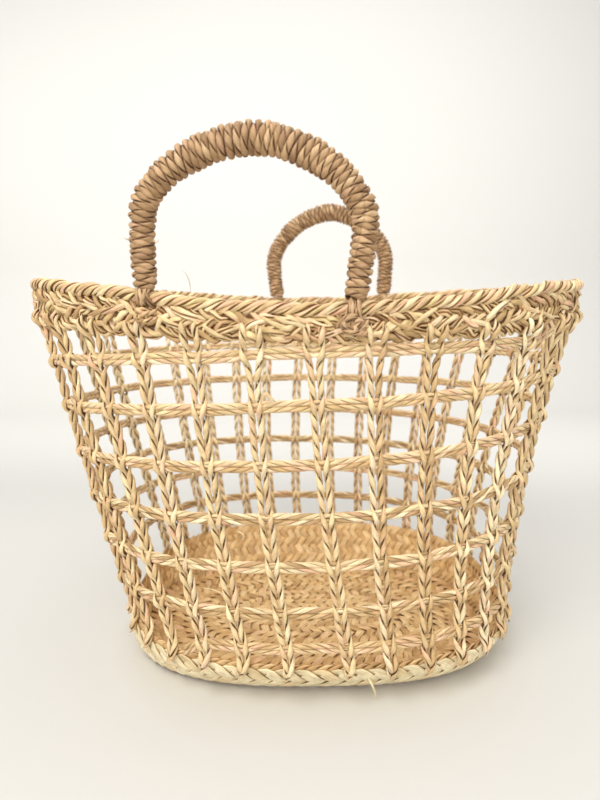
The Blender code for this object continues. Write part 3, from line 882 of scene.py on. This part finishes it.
# ---- handles
def box_middle(node):
    low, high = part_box(node)
    return (np.array(low) + np.array(high)) / 2


def handle_frame(side):
    """A handle's two feet on its swing axis, and its directions along the axis, across the arch and up."""
    left, right = box_middle(f"{side}_left_loop"), box_middle(f"{side}_right_loop")
    along = unit(right - left)
    up = unit(UP - along * along[2])
    return left, right, along, np.cross(up, along), up


def arch_points(side):
    """The arch's centre line from the left foot to the right one, and the way across it."""
    left, right, along, across, up = handle_frame(side)
    middle, half_span = (left + right) / 2, np.linalg.norm(right - left) / 2
    shoulder = ARCH_SHOULDER[side]
    share = np.linspace(0.0, 1.0, 150)[:-1]
    leg_out = half_span + ARCH_BULGE * np.sin(math.pi / 2 * share)
    leg_high = WRAP_START + (shoulder - WRAP_START) * share
    turn = np.linspace(math.pi, 0.0, 500)
    rise = np.abs(np.sin(turn)) ** (2 / ARCH_POWER)
    sideways = np.sign(np.cos(turn)) * np.abs(np.cos(turn)) ** (2 / ARCH_POWER)
    bow_out = (half_span + ARCH_BULGE) * sideways + ARCH_LEAN * rise**2
    bow_high = shoulder + (ARCH_HEIGHT - shoulder) * rise
    level = np.concatenate([-leg_out, bow_out, leg_out[::-1]])
    high = np.concatenate([leg_high, bow_high, leg_high[::-1]])
    return middle + along * level[:, None] + up * high[:, None], across


def build_handle(side):
    """A two-ply cord wound round the arch turn by turn, slanting on the legs, over a filler darkened with
    painted shade.
    """
    line, across = arch_points(side)
    (line,) = resample(0.0002, line)
    line = softened(line, 41)
    run = run_of(line)
    forward = tangents(line)
    across = np.broadcast_to(across, forward.shape)
    normal = unit(np.cross(across, forward))
    from_end = np.minimum(run, run[-1] - run)
    share = run / run[-1]
    high = np.sin(math.pi * share) ** 2
    pace = WRAP_PITCH[side] * (1 + 0.1 * high) * (1 + wander(run, 0.18, 0.04))
    turn = TURN * np.concatenate([[0.0], np.cumsum(np.diff(run) / pace[1:])])
    slim = 0.88 + 0.12 * np.sin(math.pi / 2 * np.clip(from_end / 0.014, 0, 1))
    low = WRAP_RADIUS[side]
    radius = (low + (WRAP_TOP_RADIUS - low) * high) * slim * (1 + wander(run, 0.05, 0.04))
    slant = 0.36 - 0.26 * high + wander(run, 0.12, 0.04)
    slant = slant * np.clip(from_end / 0.01, 0.3, 1)
    middle, thick = resample(0.003, line, radius + 0.0001)
    face = np.broadcast_to(across[0], middle.shape)
    # Painted shade: the filler is darkened where it shows between the turns.
    shade_filler = sweep(middle, face, thick, thick, corners=16, ridge=0.0, taper=0.003, shade=0.3, tuck=0.4)
    fine = np.linspace(turn[0], turn[-1], int((turn[-1] - turn[0]) * 5.5))
    table = np.hstack([line, normal, across, forward, radius[:, None], slant[:, None]])
    pick = np.array([np.interp(fine, turn, column) for column in table.T]).T
    centre = pick[:, 0:3]
    normal, across, forward = (unit(pick[:, i : i + 3]) for i in (3, 6, 9))
    radius, slant = pick[:, 12:13], pick[:, 13:14]
    c, s = np.cos(fine)[:, None], -np.sin(fine)[:, None]
    radial = normal * c + across * s
    path = centre + radial * radius - forward * (c * slant * radius)
    along_path = run_of(path)
    lay = math.pi * along_path / WRAP_LAY + wander(along_path, 1.4, 0.2)
    fineness = WRAP_PITCH[side] / WRAP_PITCH["front"]
    ply_size = np.array(WRAP_PLY) * fineness
    strands = []
    for ply in cord(path, radial, lay, ply_size, WRAP_ORBIT * fineness, plump=0.12, ridge=0.07):
        strands += cut_strand(ply, WRAP_SHADE_STATIONS)
    # Painted light and shade: the winding is darkest low on one leg and lightest on top, after how the light
    # falls on it.
    span = line[-1] - line[0]
    for strand in strands:
        place = strand["points"].mean(axis=0) - line[0]
        leg = float(np.clip(place @ span / (span @ span), 0, 1))
        painted_light_leg = leg if side == "front" else 1 - leg
        strand["strand"] *= 0.34 + 0.24 * painted_light_leg + 0.42 * min(place[2] / ARCH_HEIGHT, 1.0)
    strands.append(shade_filler)
    nodes = [f"{side}_handle_core", f"{side}_handle_wrap"]
    make_piece(f"{side}_handle_winding", strands, f"{side}_handle", nodes, wrap_look)
    left, right, along, _, up = handle_frame(side)
    for where, foot in (("left", left), ("right", right)):
        build_loop(f"{side}_{where}", foot, along, up, f"{side}_handle")


def cut_strand(strand, stations):
    """A long strand in lengths that differ in shade, each starting where the last one ends."""
    n, k = strand["stations"], strand["corners"]
    found = []
    for a in range(0, n - 1, stations):
        b = min(a + stations, n - 1) + 1
        piece = {key: strand[key][a * k : b * k] for key in ("points", "grain", "crease")}
        found.append({**piece, "stations": b - a, "corners": k, "strand": rng.random()})
    return found


def build_loop(name, foot, along, up, body):
    """The handle's last turns, round the rim's rope and the swing axis: they fan out and cross a little."""
    across = np.cross(up, along)
    strands = []
    for place in LOOP_PLACES:
        turn = np.linspace(0, TURN * 1.04, 60) + 6 * rng.random()
        radial = across * np.cos(turn)[:, None] + up * np.sin(turn)[:, None]
        skew = 0.0016 * rng.normal() * np.sin(turn) - 0.25 * place * np.sin(turn)
        radius = LOOP_RADIUS + wander(turn, 0.0002, 3.0)
        path = foot + radial * radius[:, None] + along * (place + skew)[:, None]
        lay = math.pi * run_of(path) / LOOP_LAY + 6 * rng.random()
        strands += cord(path, radial, lay, LOOP_PLY, LOOP_ORBIT, taper=0.002)
    make_piece(f"{name}_turns", strands, body, [f"{name}_loop"], wrap_look)


def build_lashing(name, foot_angle, ends, half_width, look):
    """Binding cord under a handle's foot: short ends that cross the rim's rows in a tangle."""
    pace = rim_pace(foot_angle)
    top = band_top(foot_angle)
    t = np.linspace(0.0, 1.0, 44)
    strands = []
    for k in range(ends):
        lean = rng.uniform(0, math.pi)
        bow = 0.0026 * rng.normal() * np.sin(math.pi * t)
        reach = half_width * rng.uniform(0.45, 0.95) * (2 * t - 1)
        lateral = 0.35 * half_width * rng.uniform(-1, 1) + reach * math.cos(lean) - bow * math.sin(lean)
        height = top * rng.uniform(0.4, 0.74) + 0.65 * reach * math.sin(lean) + bow * math.cos(lean)
        proud = 0.0032 + (0.0018 + 0.0007 * (k % 4)) * np.sin(math.pi * t) ** 0.7
        path, out = rim_place(foot_angle + lateral / pace, proud, height)
        lay = math.pi * run_of(path) / LASHING_LAY + 6 * rng.random()
        strands += cord(path, out, lay, LASHING_PLY, LASHING_ORBIT, corners=8, plump=0.15, taper=0.003)
    make_piece(f"{name}_strands", strands, "basket", [f"{name}_lashing"], look)


def build_rim_ends(feet):
    """Leaf ends worked into the rim's face, leaning both ways, clear of the handles' feet."""
    strands = []
    t = np.linspace(0.0, 1.0, 16)
    for start in ring_angles(RIM_LOOSE_ENDS, 0.0, 1.0):
        angle = start + rng.uniform(-0.02, 0.02)
        lean = rng.choice((-1, 1)) * rng.uniform(0.25, 0.7)
        half_length = rng.uniform(0.0075, 0.013)
        share = rng.uniform(0.18, 0.84)
        bow = 0.0013 * rng.normal() * np.sin(math.pi * t)
        size = rng.uniform(0.85, 1.1)
        phase = 6 * rng.random()
        beside = rope_centre(np.array([angle - 0.01]))[0]
        if min(np.linalg.norm(beside - foot) for foot in feet) < RIM_END_CLEAR:
            continue
        top = band_top(angle)
        reach = half_length * (2 * t - 1)
        lateral = reach * math.cos(lean) - bow * math.sin(lean)
        height = top * share + 0.8 * reach * math.sin(lean) + bow * math.cos(lean)
        height = np.clip(height, 0.0004, top + 0.0012)
        proud = RIM_END_PROUD * np.sin(math.pi * t) ** 0.5
        path, out = rim_place(angle + lateral / rim_pace(angle), proud, height)
        lay = math.pi * run_of(path) / RIM_LAY + phase
        ply = np.array(RIM_PLY) * size
        strands += cord(path, out, lay, ply, RIM_END_ORBIT, corners=8, plump=0.1, taper=0.003)
    make_piece("rim_loose_ends", strands, "basket", [], rim_look)


# ---- loose fibres
def build_fibre(name, body, slot, look, half, points):
    """A stray leaf fibre: a thin pointed curl through a few points."""
    points = np.array(points, float)
    table = np.linspace(0, len(points) - 1, 90)
    line = np.array([np.interp(table, np.arange(len(points)), column) for column in points.T]).T
    line = softened(line, 31)
    face = np.broadcast_to(np.array([0.0, -1.0, 0.0]), line.shape)
    strand = sweep(line, face, half, 0.6 * half, corners=6, ridge=0.0, taper=run_of(line)[-1] * 0.45)
    make_piece(name, [strand], body, [], look)


# ---- the basket
tops = ring_angles(STAKES, FIRST_STAKE, 1.0)
met = crossings(tops)
for index, top in enumerate(tops):
    build_stake(index + 1, top, [level for _, stake, level in met if stake == index])
build_weft(met)
foot_names = [f"{side}_{where}" for side in ("front", "back") for where in ("left", "right")]
feet = {name: box_middle(f"{name}_loop") for name in foot_names}
build_rope()
build_band(list(feet.values()))
build_base()
ring = np.linspace(0, TURN, 7201)
for name, foot in feet.items():
    angle = float(ring[np.argmin(np.linalg.norm(rope_centre(ring) - foot, axis=1))])
    if name == "front_right":
        build_lashing(name, angle, 26, 0.01, wrap_look)
    else:
        build_lashing(name, angle, 18, 0.0085, lashing_look)
for side in ("front", "back"):
    build_handle(side)
fibres = (  # name, body, slot, look, half width, points
    ("rim_stray_hair", "basket", "rim_plait", wrap_look, 0.00022, [
        (-0.0808, -0.1475, 0.282), (-0.0815, -0.1475, 0.2895), (-0.0833, -0.1475, 0.2944),
        (-0.0866, -0.1475, 0.2974),
    ]),
    ("base_stray_tail", "basket", "base_plait", edge_look, 0.00085, [
        (0.027, -0.1325, 0.0275), (0.0328, -0.1352, 0.0222), (0.0367, -0.1335, 0.014),
        (0.0389, -0.1305, 0.0063), (0.0398, -0.128, 0.0008),
    ]),
    ("weft_stray_tip", "basket", "weft_cord", weft_look, 0.0011, [
        (-0.0392, -0.156, 0.215), (-0.0372, -0.158, 0.2205), (-0.0358, -0.1585, 0.2232),
        (-0.0317, -0.158, 0.2193), (-0.029, -0.156, 0.2166),
    ]),
    ("mesh_stray_hair", "basket", "stake_cord", edge_look, 0.00025, [
        (-0.0812, -0.136, 0.089), (-0.0724, -0.135, 0.0872), (-0.065, -0.1345, 0.0826),
        (-0.0604, -0.134, 0.0769),
    ]),
    ("stake_stray_curl", "basket", "stake_cord", stake_look, 0.0005, [
        (-0.056, -0.152, 0.133), (-0.0535, -0.155, 0.135), (-0.0505, -0.1555, 0.1335),
        (-0.05, -0.155, 0.1305), (-0.0525, -0.154, 0.1288),
    ]),
    ("winding_stray_end", "front_handle", "handle_wrap", wrap_look, 0.0003, [
        (-0.1125, -0.15, 0.3133), (-0.1165, -0.153, 0.3139), (-0.1185, -0.154, 0.3146),
    ]),
    ("winding_stray_curl", "front_handle", "handle_wrap", wrap_look, 0.0003, [
        (-0.103, -0.15, 0.314), (-0.1, -0.153, 0.3122), (-0.0982, -0.153, 0.313),
        (-0.0992, -0.153, 0.3146),
    ]),
)
for fibre in fibres:
    build_fibre(*fibre)
build_rim_ends(list(feet.values()))


# ---- stage, light and camera
def plain_material(name, colour, roughness):
    look = bpy.data.materials.new(name)
    look.use_nodes = True
    shader = look.node_tree.nodes["Principled BSDF"]
    shader.inputs["Base Color"].default_value = (*colour, 1.0)
    shader.inputs["Roughness"].default_value = roughness
    return look


def build_stage():
    """A pale floor that curves up into a backdrop."""
    reach, height, curve_start, radius = 9.0, 3.0, 1.2, 0.5
    profile = [(-reach, 0.0), (curve_start, 0.0)]
    for a in np.linspace(0.1, math.pi / 2, 16):
        profile.append((curve_start + radius * math.sin(a), radius - radius * math.cos(a)))
    profile.append((curve_start + radius, height))
    points = [(x, y, z) for y, z in profile for x in (-reach, reach)]
    faces = [(2 * i, 2 * i + 1, 2 * i + 3, 2 * i + 2) for i in range(len(profile) - 1)]
    mesh = bpy.data.meshes.new("stage_floor")
    mesh.from_pydata(points, [], faces)
    mesh.shade_smooth()
    mesh.materials.append(plain_material("stage_white", (0.65, 0.645, 0.625), 0.6))
    add_object("stage_floor", mesh)


def area_light(name, place, target, size, power, colour):
    """A rectangular lamp that faces its target."""
    data = bpy.data.lights.new(name, "AREA")
    data.shape = "RECTANGLE"
    data.size, data.size_y = size
    data.energy = power
    data.color = colour
    lamp = add_object(name, data)
    lamp.location = place
    lamp.rotation_euler = (Vector(target) - Vector(place)).to_track_quat("-Z", "Y").to_euler()
    lamp.visible_camera = False


def build_light():
    world = bpy.data.worlds.new("studio")
    world.use_nodes = True
    background = world.node_tree.nodes["Background"]
    background.inputs["Color"].default_value = (1.0, 0.985, 0.96, 1.0)
    background.inputs["Strength"].default_value = 0.62
    bpy.context.scene.world = world
    area_light("key", (-0.7, -1.3, 1.9), (0.0, 0.0, 0.1), (1.0, 1.0), 30.0, (1.0, 0.97, 0.92))
    area_light("top", (0.3, 0.2, 2.2), (0.0, 0.0, 0.0), (1.6, 1.6), 14.0, (1.0, 0.99, 0.97))
    area_light("front_fill", (0.0, -1.6, 0.9), (0.0, 0.0, 0.05), (2.0, 1.0), 11.0, (1.0, 0.98, 0.94))
    area_light("back_fill", (-0.3, 0.75, 0.95), (-0.2, 1.7, 0.6), (3.2, 1.2), 12.0, (1.0, 0.985, 0.95))


def build_camera():
    """A wide camera close in front of the basket, looking a little down into it."""
    data = bpy.data.cameras.new("camera")
    data.sensor_width = 36.0
    data.lens = 26.1
    data.clip_start = 0.01
    focus = add_object("focus_point", None)
    focus.location = (0.0, -0.1, 0.18)
    data.dof.use_dof = True
    data.dof.focus_object = focus
    data.dof.aperture_fstop = 6.3
    camera = add_object("camera", data)
    camera.location = (-0.0208, -0.507, 0.264)
    camera.rotation_euler = (math.radians(90 - 7.4), 0.0, math.radians(-1.0))
    bpy.context.scene.camera = camera


build_stage()
build_light()
build_camera()
bpy.context.scene.view_settings.view_transform = "Standard"
